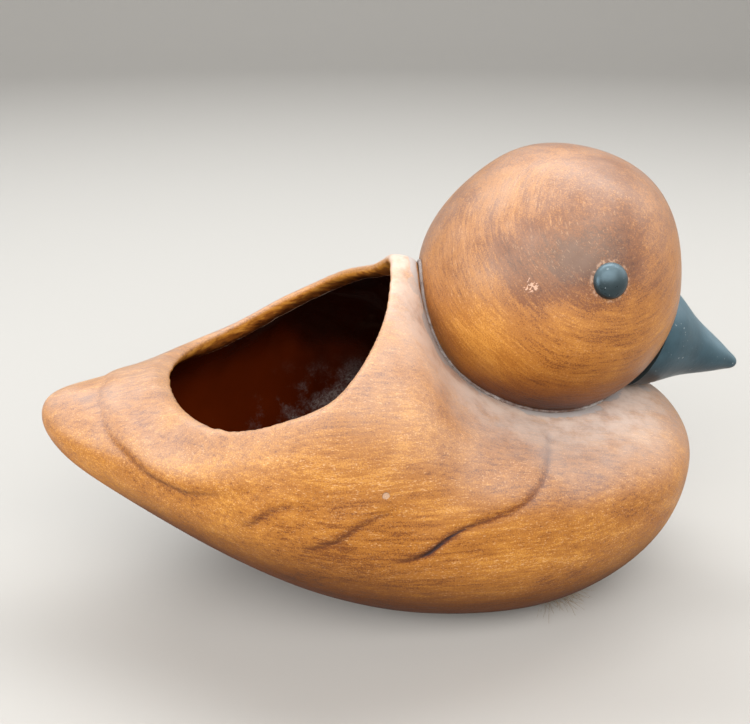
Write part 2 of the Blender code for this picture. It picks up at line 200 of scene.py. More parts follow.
# brown stain on the slip, dark enough to paint shade into the neck's groove
SLIP_STAIN_AND_SHADE = (0.13, 0.065, 0.042)
CHIPPED = (0.50, 0.37, 0.28)
SCRATCHED = (0.80, 0.52, 0.38)
EYE_RING = (0.66, 0.44, 0.31)
BEAK_PAINT = ((0.013, 0.034, 0.047), (0.024, 0.056, 0.075))
EYE_PAINT = ((0.012, 0.017, 0.018), (0.024, 0.032, 0.034))
PAINT_MARKS = (0.42, 0.45, 0.46)
# a painted sheen of the pale light above on the paint's top, and painted shade under it
PAINT_SHEEN = (0.36, 0.52, 0.60)
PAINT_UNDERSIDE_SHADE = (0.15, 0.20, 0.26)
FELT_STOPS = [(0.3, (0.18, 0.12, 0.07)), (0.5, (0.42, 0.31, 0.19)), (0.7, (0.60, 0.49, 0.34))]
FLOOR_COLOUR = (0.44, 0.425, 0.40)
SKY_COLOUR = (0.92, 0.95, 1.0)
WARM_SHEEN = (1.0, 0.80, 0.58)           # tint of the clay's gloss
COOL_SHEEN = (0.55, 0.82, 1.0)           # tint of the paint's gloss

# ---- gloss, dust and painted sheen --------------------------------------------------------
BODY_ROUGHNESS, HEAD_ROUGHNESS = 0.42, 0.37
BEAK_ROUGHNESS, EYE_ROUGHNESS = 0.35, 0.30
# how much dust and painted sheen lies on what faces up
BODY_DUST_AND_SHEEN_SHARE, HEAD_DUST_AND_SHEEN_SHARE = 0.22, 0.24
# how much painted sheen lies on the paint's top
BEAK_SHEEN_SHARE, EYE_SHEEN_SHARE = 0.34, 0.26
CLAY_IOR, PAINT_IOR = 1.42, 1.5

# ---- camera and lights, in metres ---------------------------------------------------------
CAMERA_ELEVATION, CAMERA_YAW = math.radians(23.0), math.radians(6.0)
CAMERA_TARGET, CAMERA_DISTANCE = Vector((-0.008, 0.0, 0.079)), 0.330
CAMERA_LENS = 47.73
# place, target, size, power and colour
LIGHTS = {
    "strip": ((0.08, 0.36, 0.95), (0.0, 0.0, 0.10), (1.7, 0.30), 13.0, (0.95, 0.98, 1.0)),
    "window": ((-0.95, -0.42, 0.33), (0.0, 0.0, 0.06), (0.6, 0.6), 9.0, (0.92, 0.96, 1.0)),
    "side": ((0.95, 0.10, 0.50), (0.0, 0.0, 0.07), (0.6, 0.6), 1.6, (0.97, 0.98, 1.0)),
    "backdrop": ((0.0, 0.7, 1.5), (0.0, 2.2, 0.5), (1.6, 0.5), 16.0, (1.0, 1.0, 1.0)),
    "key": ((0.08, -1.0, 0.95), (0.0, 0.0, 0.06), (1.8, 1.0), 27.0, (1.0, 0.975, 0.95)),
}
SKY_STRENGTH = 0.10
FLOOR_RADIUS, FLOOR_CURVE, FLOOR_TOP = 1.5, 0.8, 2.4   # flat floor, the sweep up from it, the wall's top
FLOOR_SEGMENTS = 64


# ---- outlines -----------------------------------------------------------------------------
def angle_of(x):
    """Station angle: 0 at the tail tip and pi at the breast."""
    return np.arccos(np.clip((MIDDLE_X - np.asarray(x, float)) / HALF_LENGTH, -1.0, 1.0))


def natural_cubic(knots, values):
    """The natural cubic through values at rising knots, as a function of an array."""
    knots, values = np.asarray(knots, float), np.asarray(values, float)
    step = np.diff(knots)
    slope = np.diff(values) / step
    count = len(knots)
    system, right = np.eye(count), np.zeros(count)
    for i in range(1, count - 1):
        system[i, i - 1:i + 2] = (step[i - 1], 2 * (step[i - 1] + step[i]), step[i])
        right[i] = 6 * (slope[i] - slope[i - 1])
    bend = np.linalg.solve(system, right)

    def value_at(where):
        i = np.clip(np.searchsorted(knots, where) - 1, 0, count - 2)
        before, after, h = where - knots[i], knots[i + 1] - where, step[i]
        return ((bend[i] * after ** 3 + bend[i + 1] * before ** 3) / (6 * h)
                + (values[i] / h - bend[i] * h / 6) * after
                + (values[i + 1] / h - bend[i + 1] * h / 6) * before)

    return value_at


def smooth_curve(points):
    return natural_cubic([angle_of(x) for x, _ in points], [value for _, value in points])


CURVES = {name: smooth_curve(points) for name, points in (
    ("back", BACK), ("ridge", RIDGE), ("spread", RIDGE_SPREAD), ("belly", BELLY),
    ("width", HALF_WIDTH), ("widest", WIDEST_Z), ("upper", UPPER_FULLNESS), ("lower", LOWER_FULLNESS))}


def signed_power(value, power):
    return np.sign(value) * np.abs(value) ** power


def under_head(x, y, offset):
    """Height of the head ball's underside above (x, y), the ball grown by offset."""
    half = HEAD_HALF + offset
    inside = 1 - ((x - HEAD_CENTRE[0]) / half[0]) ** 2 - (y / half[1]) ** 2
    return np.where(inside > 0, HEAD_CENTRE[2] - half[2] * np.sqrt(np.maximum(inside, 0)), np.inf)


def body_rings(inset, ends, rings, around):
    """The body form's stations and its two end points, the form pulled in by inset and at its ends by ends.

    The stations are an array of rings by points around by (x, y, z).
    """
    def shrunk(size):
        if inset > 0:
            return np.where(size > 0, size * size / np.maximum(size + inset, 1e-6), 0.0)
        return np.maximum(size - inset, 0.0)

    angle = np.linspace(0, math.pi, rings + 1)[1:-1, None]
    turn = circle(around)[None, :]
    x = MIDDLE_X - (HALF_LENGTH - ends) * np.cos(angle) + 0 * turn
    centre = CURVES["widest"](angle)
    width = shrunk(CURVES["width"](angle))
    rise, drop = shrunk(CURVES["back"](angle) - centre), shrunk(centre - CURVES["belly"](angle))
    side, up = np.cos(turn), np.sin(turn)
    power = 2 / np.where(up > 0, CURVES["upper"](angle), CURVES["lower"](angle))
    y = width * signed_power(side, power)
    z = centre + np.where(up > 0, rise, drop) * signed_power(up, power)
    z = z + CURVES["ridge"](angle) * np.exp(-(y / CURVES["spread"](angle)) ** 2) * np.maximum(up, 0)
    if inset > 0:
        z = np.minimum(z, under_head(x, y, HEAD_CLEARANCE + inset))
    z = np.maximum(z, FOOT_Z + inset)
    poles = [(MIDDLE_X - sign * (HALF_LENGTH - ends), 0.0, float(CURVES["widest"](pole)))
             for sign, pole in ((1, np.array(0.0)), (-1, np.array(math.pi)))]
    return np.stack([x, y, z], -1), poles


def within_body(points, inset):
    """True for each point inside the body form pulled in by about inset."""
    angle = angle_of(points[:, 0])
    centre = CURVES["widest"](angle)
    rise = np.maximum(CURVES["back"](angle) - centre - inset, 0.1)
    drop = np.maximum(centre - CURVES["belly"](angle) - inset, 0.1)
    width = np.maximum(CURVES["width"](angle) - inset, 0.1)
    up = points[:, 2] > centre
    share = np.clip((points[:, 2] - centre) / rise, 0, 1)
    ridge = CURVES["ridge"](angle) * np.exp(-(points[:, 1] / CURVES["spread"](angle)) ** 2)
    height = points[:, 2] - centre - ridge * share
    power = np.where(up, CURVES["upper"](angle), CURVES["lower"](angle))
    reach = (np.abs(points[:, 1] / width) ** power
             + np.abs(height / np.where(up, rise, drop)) ** power)
    return (reach < 1) & (points[:, 2] > FOOT_Z + inset)


# ---- mesh helpers -------------------------------------------------------------------------
def new_object(name, mesh):
    piece = bpy.data.objects.new(name, mesh)
    bpy.context.scene.collection.objects.link(piece)
    return piece


def mesh_object(name, points, faces):
    """An object from points in millimetres."""
    mesh = bpy.data.meshes.new(name)
    mesh.from_pydata([tuple(p) for p in np.asarray(points, float) * MM], [], faces)
    mesh.validate()
    return new_object(name, mesh)


def circle(count):
    """Angles of places evenly round a circle."""
    return 2 * math.pi * np.arange(count) / count


def fan(middle, first, around):
    """Faces between one point and a closed row of points."""
    return [(middle, first + j, first + (j + 1) % around) for j in range(around)]


def strips(rows, around, first=0, closed=False):
    """Faces between each closed row of points and the next; closed joins the last row to the first too."""
    faces = []
    for i in range(rows if closed else rows - 1):
        here, there = first + i * around, first + (i + 1) % rows * around
        for j in range(around):
            k = (j + 1) % around
            faces.append((here + j, here + k, there + k, there + j))
    return faces


def loft(name, rings, poles):
    """A closed solid through rings of points, with a pole at each end."""
    count, around = rings.shape[:2]
    points = np.concatenate([rings.reshape(-1, 3), np.array(poles)])
    faces = strips(count, around)
    first, last = count * around, count * around + 1
    for j in range(around):
        k = (j + 1) % around
        faces.append((first, k, j))
        faces.append((last, (count - 1) * around + j, (count - 1) * around + k))
    return solid(name, points, faces)


def solid(name, points, faces):
    """A closed object whose faces all look outwards."""
    piece = mesh_object(name, points, faces)
    outward(piece.data)
    return piece


def outward(mesh):
    data = bmesh.new()
    data.from_mesh(mesh)
    bmesh.ops.recalc_face_normals(data, faces=data.faces)
    data.to_mesh(mesh)
    data.free()


def prism(name, outline, low, high, axis):
    """A straight-sided block over a closed outline of points in the plane across axis 1 (Y) or 2 (Z)."""
    count = len(outline)
    if axis == 1:
        points = [(a, side, b) for side in (low, high) for a, b in outline]
    else:
        points = [(a, b, side) for side in (low, high) for a, b in outline]
    faces = [tuple(range(count)), tuple(range(2 * count - 1, count - 1, -1))]
    faces += strips(2, count)
    return solid(name, points, faces)


def turned(name, profile, segments, tip, direction):
    """A solid of revolution: profile is (distance back from the tip, radius), closed by a flat cap."""
    points = [(0.0, 0.0, -profile[0][0])]
    for back, radius in profile[1:]:
        points += [(radius * math.cos(a), radius * math.sin(a), -back) for a in circle(segments)]
    faces = fan(0, 1, segments) + strips(len(profile) - 1, segments, first=1)
    last = 1 + (len(profile) - 2) * segments
    faces.append(tuple(range(last, last + segments)))
    turn = Vector((0, 0, 1)).rotation_difference(Vector(direction)).to_matrix()
    return solid(name, np.array(points) @ np.array(turn).T + np.array(tip), faces)


def apply_modifiers(piece):
    """Leaves the piece with the mesh that its modifiers make."""
    bpy.context.view_layer.update()
    graph = bpy.context.evaluated_depsgraph_get()
    mesh = bpy.data.meshes.new_from_object(piece.evaluated_get(graph), depsgraph=graph)
    piece.modifiers.clear()
    old, piece.data = piece.data, mesh
    bpy.data.meshes.remove(old)
    mesh.name = piece.name


def cut(piece, *cutters):
    """Takes the cutters out of the piece, one after another, and removes them."""
    for cutter in cutters:
        change = piece.modifiers.new("cut", "BOOLEAN")
        change.operation = "DIFFERENCE"
        change.solver = "MANIFOLD"
        change.object = cutter
        apply_modifiers(piece)
        bpy.data.objects.remove(cutter)


def read(items, name, width, kind=np.float32):
    """One property of a mesh's vertices or edges, as the rows of an array."""
    values = np.zeros(len(items) * width, kind)
    items.foreach_get(name, values)
    return values.reshape(-1, width)


def vertex_array(mesh):
    """The vertices in millimetres."""
    return read(mesh.vertices, "co", 3).astype(float) / MM


def set_vertices(mesh, points):
    mesh.vertices.foreach_set("co", (points * MM).astype(np.float32).ravel())
    mesh.update()


def edge_array(mesh):
    return read(mesh.edges, "vertices", 2, np.int32)


def points_and_normals(mesh):
    return vertex_array(mesh), read(mesh.vertices, "normal", 3).astype(float)


def neighbour_mean(values, edges):
    """Each vertex's mean over its neighbours, for an array of one or more columns."""
    total = np.zeros_like(values)
    count = np.bincount(edges.ravel(), minlength=len(values)).astype(float)
    for axis in range(values.shape[1]):
        total[:, axis] = (np.bincount(edges[:, 0], values[edges[:, 1], axis], len(values))
                          + np.bincount(edges[:, 1], values[edges[:, 0], axis], len(values)))
    return total / np.maximum(count, 1)[:, None]


def smooth(mesh, passes, share=0.6):
    edges, points = edge_array(mesh), vertex_array(mesh)
    for _ in range(passes):
        points += share * (neighbour_mean(points, edges) - points)
    set_vertices(mesh, points)


def store(mesh, name, values):
    layer = mesh.attributes.new(name, "FLOAT", "POINT")
    layer.data.foreach_set("value", np.asarray(values, np.float32))


def along_line(points, step=0.7):
    """Points close together on the smooth curve through a line's own points, with its last column."""
    knots = np.concatenate([[0], np.cumsum(np.linalg.norm(np.diff(points[:, :3], axis=0), axis=1))])
    where = np.linspace(0, knots[-1], int(knots[-1] / step) + 2)
    place = np.stack([natural_cubic(knots, points[:, i])(where) for i in range(3)], -1)
    return place, np.interp(where, knots, points[:, 3])


# ---- body ---------------------------------------------------------------------------------
def mouth_outline(count):
    """Half of the mouth's plan, from the tail end round one side to the neck end."""
    turn = np.linspace(0, math.pi, count + 1)
    tail = turn < math.pi / 2
    x = MOUTH_WIDEST + (np.where(tail, MOUTH_ENDS[0], MOUTH_ENDS[1]) - MOUTH_WIDEST) * np.abs(np.cos(turn))
    y = MOUTH_HALF * np.sin(turn) ** np.where(tail, 1.0, MOUTH_NECK_POWER)
    y[0] = y[-1] = 0.0
    return np.stack([x, y], -1)


def scoop_line():
    """The scoop's side view as (x, z) points close together."""
    points = np.array([(x, 0.0, z, 0.0) for x, z in SCOOP], float)
    place, _ = along_line(points, step=1.2)
    return place[:, [0, 2]]


def head_ball(name, grow, segments, rings):
    """The head's ball, its crown leaning forward, as a sphere of rings."""
    latitude = np.linspace(-math.pi / 2, math.pi / 2, rings + 1)[1:-1, None]
    longitude = circle(segments)[None, :]
    unit = np.stack([np.cos(latitude) * np.cos(longitude), np.cos(latitude) * np.sin(longitude),
                     np.sin(latitude) + 0 * longitude], -1)
    poles = [HEAD_CENTRE + (0, 0, sign * (HEAD_HALF[2] + grow)) for sign in (-1, 1)]
    return loft(name, HEAD_CENTRE + shaped_ball(unit, grow), poles)


def shaped_ball(unit, grow):
    height = np.maximum(unit[..., 2], 0)
    shaped = unit * (HEAD_HALF + grow)
    shaped[..., 0] += CROWN_SHIFT * height ** 3 * (1 - height ** 2) / LEAN_PEAK
    return shaped


def neck_rod(name, radius, start, length):
    """A round bar down the neck's axis from the head's centre."""
    direction = np.array((-math.sin(NECK_TILT), 0, -math.cos(NECK_TILT)))
    first = HEAD_CENTRE + direction * start
    return turned(name, [(0, 0), (0.001, radius), (length, radius)], 48, first, -direction)


def rim_crest():
    """Points along the inner crest of the opening's lip."""
    plan = mouth_outline(120)
    side = scoop_line()
    height = np.interp(plan[:, 0], side[:, 0], side[:, 1])
    half = np.column_stack([plan, height])
    other = half * (1, -1, 1)
    return np.concatenate([half, other])


def nearest(points, line, chunk=4000):
    """For each point, the index of the nearest line point and the distance to it."""
    index = np.zeros(len(points), int)
    distance = np.zeros(len(points))
    for start in range(0, len(points), chunk):
        part = points[start:start + chunk]
        gap = np.linalg.norm(part[:, None, :] - line[None, :, :], axis=2)
        index[start:start + chunk] = gap.argmin(1)
        distance[start:start + chunk] = gap.min(1)
    return index, distance


def relief_of(points, normals):
    """How far each outer vertex is raised, and how much stain lies there."""
    mirrored = points * (1, 0, 1) + np.abs(points) * (0, 1, 0)
    facing = normals * (1, 0, 1) + normals * np.sign(points) * (0, 1, 0)
    height = np.zeros(len(points))
    stain = np.zeros(len(points))
    for line, lift, peak, depth, width, left in RELIEF:
        place, strength = along_line(np.array(line, float))
        tangent = np.gradient(place, axis=0)
        tangent /= np.linalg.norm(tangent, axis=1)[:, None]
        low, high = place.min(0) - RELIEF_REACH, place.max(0) + RELIEF_REACH
        close = np.nonzero(np.all((mirrored > low) & (mirrored < high), axis=1))[0]
        index, distance = nearest(mirrored[close], place)
        away = mirrored[close] - place[index]
        raised = np.einsum("ij,ij->i", np.cross(facing[close], tangent[index]), away) > 0
        past_end = np.abs(np.einsum("ij,ij->i", tangent[index], away))
        strong = strength[index] * np.exp(-(past_end / RELIEF_END) ** 2)
        t = distance / peak
        step = np.where(raised, 1.0, -RELIEF_BACK) * lift * t * np.exp(1 - t)
        height[close] += strong * (step - depth * np.exp(-(distance / width) ** 2))
        wide = width * (0.7 + 0.5 * strength[index])
        soft = np.where(raised, distance / (1.3 * wide), distance / (0.6 * wide))
        stain[close] = np.maximum(stain[close], left * np.minimum(strong, STAIN_LIMIT) * np.exp(-soft ** 2))
    return height, stain


def carved_body():
    """The body's form with its scoop, bowl, seat and air hole cut, as an even fine mesh."""
    body = loft("duck_body", *body_rings(0.0, 0.0, *BODY_MESH))
    side = scoop_line()
    outline = [(side[0, 0], CUTTER_TOP), *map(tuple, side), (side[-1, 0], CUTTER_TOP)]
    scoop = prism("scoop", outline, -CUTTER_SIDE, CUTTER_SIDE, 1)
    cavity = loft("cavity", *body_rings(WALL, TAIL_SOLID, *CAVITY_MESH))
    plan = mouth_outline(72)
    outline = [*map(tuple, plan), *[(x, -y) for x, y in plan[-2:0:-1]]]
    mouth = prism("mouth", outline, MOUTH_BOTTOM, CUTTER_TOP, 2)
    seat = head_ball("seat", HEAD_CLEARANCE, *SEAT_MESH)
    vent = neck_rod("vent", VENT_RADIUS, VENT_START, VENT_LENGTH)
    cut(body, scoop, cavity, mouth, seat, vent)
    fine = body.modifiers.new("fine", "REMESH")
    fine.mode = "VOXEL"
    fine.voxel_size = BODY_VOXEL * MM
    apply_modifiers(body)
    smooth(body.data, LIP_PASSES)
    return body


def build_body():
    """The body, with how stained, glazed, rubbed and close to the head it is stored at each vertex."""
    body = carved_body()
    mesh = body.data
    points, normals = points_and_normals(mesh)
    side = scoop_line()
    below_lip = points[:, 2] < np.interp(points[:, 0], side[:, 0], side[:, 1]) - LIP_TOP
    between_ends = np.abs(points[:, 0] - MIDDLE_X) < HALF_LENGTH - TAIL_SOLID / 2
    inside = within_body(points, WALL / 2) & below_lip & between_ends
    outside = np.where(inside, 0.0, 1.0)
    _, to_rim = nearest(points, rim_crest())
    glaze, edges = np.where(inside, to_rim, 0.0)[:, None], edge_array(mesh)
    for _ in range(GLAZE_PASSES):
        glaze = 0.5 * glaze + 0.5 * neighbour_mean(glaze, edges)
    height, stain = relief_of(points, normals)
    points += normals * (height * outside)[:, None]
    set_vertices(mesh, points)
    smooth(mesh, 1, 0.4)

    store(mesh, "stain", stain * outside)
    store(mesh, "glaze", glaze[:, 0])
    store(mesh, "lip", np.exp(-(to_rim / LIP_WEAR) ** 2))
    thin = body.modifiers.new("thin", "DECIMATE")
    thin.ratio = BODY_FACES / (2 * len(mesh.polygons))
    apply_modifiers(body)
    mesh = body.data
    from_head = (vertex_array(mesh) - HEAD_CENTRE) / HEAD_HALF
    store(mesh, "crease", (np.linalg.norm(from_head, axis=1) - 1) * HEAD_HALF[0])
    mesh.shade_smooth()
    return body


# ---- head, joint, beak, eyes and felt -----------------------------------------------------
def build_head():
    head = head_ball("duck_head", 0.0, *HEAD_MESH)
    mesh = head.data
    points, normals = points_and_normals(mesh)
    uneven = [HEAD_UNEVEN * noise.noise(Vector(p) / HEAD_LUMP) for p in points]
    set_vertices(mesh, points + normals * np.array(uneven)[:, None])
    mesh.shade_smooth()
    return head


def neck_line(count, lift):
    """Points round the neck where the head ball, grown by lift, comes out of the body's surface."""
    down = np.array((-math.sin(NECK_TILT), 0, -math.cos(NECK_TILT)))
    aside = np.array((math.cos(NECK_TILT), 0, -math.sin(NECK_TILT)))
    angles = np.radians(np.arange(25.0, 125.0, 0.25))
    line = []
    for turn in circle(count):
        out = aside * math.cos(turn) + np.array((0, 1, 0)) * math.sin(turn)
        unit = np.cos(angles)[:, None] * down + np.sin(angles)[:, None] * out
        points = HEAD_CENTRE + shaped_ball(unit, lift)
        buried = within_body(points, 0.0)
        line.append(points[np.argmin(buried)] if not buried.all() else points[-1])
    return np.array(line)


def build_joint():
    """The pale slip that fills the groove between the head and the body, smeared unevenly."""
    count, around = JOINT_MESH
    line = neck_line(count, 0.3)
    for _ in range(4):
        line = 0.5 * line + 0.25 * (np.roll(line, 1, 0) + np.roll(line, -1, 0))
    tangent = np.roll(line, -1, 0) - np.roll(line, 1, 0)
    tangent /= np.linalg.norm(tangent, axis=1)[:, None]
    outward_way = (line - HEAD_CENTRE) / np.linalg.norm(line - HEAD_CENTRE, axis=1)[:, None]
    across = np.cross(tangent, outward_way)
    rings = []
    for i, centre in enumerate(line):
        lumps = 0.5 + 0.5 * noise.noise(Vector(centre) / 5.0) + 0.25 * noise.noise(Vector(centre) / 1.7)
        radius = JOINT_RADIUS * (0.75 + 0.5 * lumps)
        ring = []
        for turn in circle(around):
            flat = 0.8 * math.cos(turn) * outward_way[i] + 1.2 * math.sin(turn) * across[i]
            ring.append(centre + radius * flat)
        rings.append(ring)
    joint = solid("neck_slip", np.array(rings).reshape(-1, 3), strips(count, around, closed=True))
    joint.data.shade_smooth()
    return joint


def build_beak():
    points = np.array([(back, radius, 0, 0) for back, radius in BEAK], float)
    place, _ = along_line(points, step=0.6)
    profile = [(0.0, 0.0)] + [(back, radius) for back, radius in place[1:, :2]]
    direction = (math.cos(BEAK_PITCH), 0, -math.sin(BEAK_PITCH))
    beak = turned("duck_beak", profile, 72, BEAK_TIP, direction)
    breast = loft("breast", *body_rings(-BREAST_CLEARANCE, 0.0, *BREAST_MESH))
    cut(beak, head_ball("beak_seat", BEAK_CLEARANCE, *FINE_SEAT_MESH), breast)
    beak.data.shade_smooth()
    beak.data.set_sharp_from_angle(angle=math.radians(50))
    return beak


def build_eye(name, side):
    ray = np.array((EYE_DIRECTION[0], side * EYE_DIRECTION[1], EYE_DIRECTION[2]))
    ray /= np.linalg.norm(ray)
    surface = HEAD_CENTRE + ray / np.sqrt(np.sum((ray / HEAD_HALF) ** 2))
    steps = 18
    profile = [(0.0, 0.0)] + [(EYE_DEPTH * (1 - math.cos(a)), EYE_RADIUS * math.sin(a))
                              for a in (0.5 * math.pi * k / steps for k in range(1, steps + 1))]
    profile.append((EYE_DEPTH + EYE_ROOT, EYE_RADIUS))
    eye = turned(name, profile, 56, surface + ray * EYE_DEPTH, ray)
    cut(eye, head_ball("eye_seat", EYE_CLEARANCE, *FINE_SEAT_MESH))
    eye.data.shade_smooth()
    eye.data.set_sharp_from_angle(angle=math.radians(60))
    return eye


def build_felt():
    """The felt pad: an oval cut by hand, with a soft uneven edge."""
    low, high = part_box("base_felt")
    centre = np.array(((low.x + high.x) / 2, (low.y + high.y) / 2)) / MM
    half = np.array(((high.x - low.x) / 2, (high.y - low.y) / 2)) / MM
    thick = (high.z - low.z) / MM
    around, rings = FELT_MESH
    section = [(r / rings, 0.0) for r in range(1, rings)]
    section += [(0.99, 0.06), (1.0, 0.3), (1.0, 0.7), (0.99, 0.94)]
    section += [(r / rings, 1.0) for r in range(rings - 1, 0, -1)]
    points = []
    for reach, level in section:
        for turn in circle(around):
            way = np.array((math.cos(turn), math.sin(turn)))
            rough = 1 - FELT_UNEVEN + FELT_UNEVEN * noise.noise(Vector((*way * 9, 2.0)))
            x, y = centre + half * way * reach * rough
            nap = 0.05 * noise.noise(Vector((x, y, 7.0 * level)) / 1.6)
            z = min(max(level * thick * 0.93 + nap, 0.02), thick)
            points.append((x, y, z))
    faces = strips(len(section), around)
    for row, level in ((0, 0.02), (len(section) - 1, thick * 0.93)):
        faces += fan(len(points), row * around, around)
        points.append((*centre, level))
    felt = solid("felt_pad", points, faces)
    felt.data.shade_smooth()
    return felt, centre, half, thick


def fibre_tries(draw):
    """Angle round the pad and longest length of each fibre to try, 0 for one outside the tufts."""
    tries = [(draw.uniform(0, 2 * math.pi), 0.0) for _ in range(FIBRES)]
    for angle, spread, longest, count in TUFTS:
        tries += [(math.radians(draw.gauss(angle, spread)), longest) for _ in range(count)]
    return tries


def build_fringe(centre, half, thick):
    """Loose wool fibres round the pad's cut edge, in tufts."""
    draw = random.Random(FIBRE_SEED)
    points, faces = [], []
    for turn, longest in fibre_tries(draw):
        tuft = 0.5 + 0.5 * noise.noise(Vector((math.cos(turn) * 5, math.sin(turn) * 5, 4.0)))
        if not longest and draw.random() > 0.25 + 0.9 * tuft:
            continue
        way = Vector((math.cos(turn) * half[1], math.sin(turn) * half[0], 0)).normalized()
        start = Vector((centre[0] + 0.985 * half[0] * math.cos(turn),
                        centre[1] + 0.985 * half[1] * math.sin(turn), draw.uniform(0.2, thick)))
        if longest:
            length = longest * draw.uniform(0.45, 1.0)
        else:
            length = draw.uniform(0.6, 1.6) + 2.4 * tuft * draw.random()
        heading = way + Vector((draw.gauss(0, 0.55), draw.gauss(0, 0.55), draw.gauss(0.05, 0.25)))
        heading.normalize()
        bend = Vector((draw.gauss(0, 0.5), draw.gauss(0, 0.5), draw.gauss(0, 0.3)))
        side = heading.cross(Vector((0, 0, 1))).normalized()
        rise = side.cross(heading)
        thickness = draw.uniform(0.045, 0.085) * (1.6 if longest else 1.0)
        base = len(points)
        for i in range(FIBRE_SEGMENTS + 1):
            t = i / FIBRE_SEGMENTS
            spot = start + heading * (length * t) + bend * (length * 0.5 * t * t)
            spot.z = max(spot.z, 0.12)
            width = thickness * (1 - 0.7 * t)
            for angle in circle(3):
                points.append(spot + (side * math.cos(angle) + rise * math.sin(angle)) * width)
        faces += strips(FIBRE_SEGMENTS + 1, 3, first=base)
        last = base + 3 * FIBRE_SEGMENTS
        faces += [(base + 2, base + 1, base), (last, last + 1, last + 2)]
    fringe = solid("felt_fringe", points, faces)
    fringe.data.shade_smooth()
    return fringe


# ---- materials ----------------------------------------------------------------------------
def join(tree, value, socket):
    if isinstance(value, Value):
        tree.links.new(value.socket, socket)
    else:
        socket.default_value = value


def add_node(tree, kind, inputs, output=0, **settings):
    """Adds a shader node, joins or sets its inputs, and gives one of its outputs as a Value."""
    made = tree.nodes.new("ShaderNode" + kind)
    for key, value in settings.items():
        setattr(made, key, value)
    for key, value in inputs.items():
        join(tree, value, made.inputs[key])
    return Value(tree, made.outputs[output])


class Value:
    """A number, vector or colour that a node gives, and the further nodes made from it."""

    def __init__(self, tree, socket):
        self.tree, self.socket = tree, socket

    def add(self, kind, inputs, output=0, **settings):
        return add_node(self.tree, kind, inputs, output, **settings)

    def math(self, operation, other=0.0):
        return self.add("Math", {0: self, 1: other}, operation=operation)

    def __add__(self, other):
        return self.math("ADD", other)

    def __sub__(self, other):
        return self.math("SUBTRACT", other)

    def __mul__(self, other):
        return self.math("MULTIPLY", other)

    def larger(self, other):
        return self.math("MAXIMUM", other)

    def vector(self, operation, other=(0.0, 0.0, 0.0), output="Vector"):
        return self.add("VectorMath", {0: self, 1: other}, output, operation=operation)

    def stretched(self, scale):
        return self.vector("MULTIPLY", scale)

    def distance(self, point):
        return self.vector("DISTANCE", point, "Value")

    def split(self):
        """The X, Y and Z of a vector."""
        sockets = self.add("SeparateXYZ", {0: self}).socket.node.outputs
        return [Value(self.tree, socket) for socket in sockets]

    def noise(self, scale, detail=3.0, rough=0.5, twist=0.0):
        return self.add("TexNoise", {"Vector": self, "Scale": scale, "Detail": detail,
                                     "Roughness": rough, "Distortion": twist}, "Fac")

    def range(self, low, high, start=0.0, end=1.0):
        """A number that goes from start to end as this one goes from low to high, eased and held beyond."""
        return self.add("MapRange", {"Value": self, "From Min": low, "From Max": high, "To Min": start,
                                     "To Max": end}, "Result", interpolation_type="SMOOTHSTEP")

    def mix(self, first, second, blend="MIX"):
        """first turned into second by this share, for colours."""
        first, second = (value if isinstance(value, Value) else (*value, 1.0) for value in (first, second))
        return self.add("Mix", {0: self, 6: first, 7: second}, 2, data_type="RGBA", blend_type=blend)

    def blend(self, first, second):
        """first turned into second by this share, for numbers."""
        return self.add("Mix", {0: self, 2: first, 3: second}, data_type="FLOAT")

    def ramp(self, stops):
        made = self.add("ValToRGB", {"Fac": self}, "Color")
        line = made.socket.node.color_ramp
        line.interpolation = "EASE"
        while len(line.elements) < len(stops):
            line.elements.new(1.0)
        for element, (where, colour) in zip(line.elements, stops):
            element.position = where
            element.color = (*colour, 1.0)
        return made

    def spot(self, centre, radius, ragged=0.35):
        """1 within a ragged spot round a point, 0 outside."""
        away = self.distance(centre) + self.noise(1.3 / radius, 4.0, 0.7) * (2 * ragged * radius)
        return away.range(radius * (1 + ragged), radius * (0.75 + ragged))


def joined(x, y, z):
    return x.add("CombineXYZ", {0: x, 1: y, 2: z})


class Finish:
    """A material being built."""

    def __init__(self, name):
        self.material = bpy.data.materials.new(name)
        self.material.use_nodes = True
        self.tree = self.material.node_tree

    def attribute(self, name):
        return add_node(self.tree, "Attribute", {}, "Fac", attribute_name=name)

    def place(self):
        """Position in millimetres."""
        return add_node(self.tree, "TexCoord", {}, "Object").stretched((1 / MM, 1 / MM, 1 / MM))

    def facing(self):
        """How far the surface faces up, from -1 to 1."""
        return add_node(self.tree, "TexCoord", {}, "Normal").split()[2]

    def finished(self, relief=None, deep=0.0, **values):
        """The material, with its shader's inputs set and a relief deep millimetres high."""
        if relief:
            inputs = {"Height": relief, "Strength": 1.0, "Distance": deep * MM}
            values["Normal"] = add_node(self.tree, "Bump", inputs, "Normal")
        shader = self.tree.nodes["Principled BSDF"]
        for key, value in values.items():
            value = (*value, 1.0) if isinstance(value, tuple) else value
            join(self.tree, value, shader.inputs[key.replace("_", " ")])
        return self.material


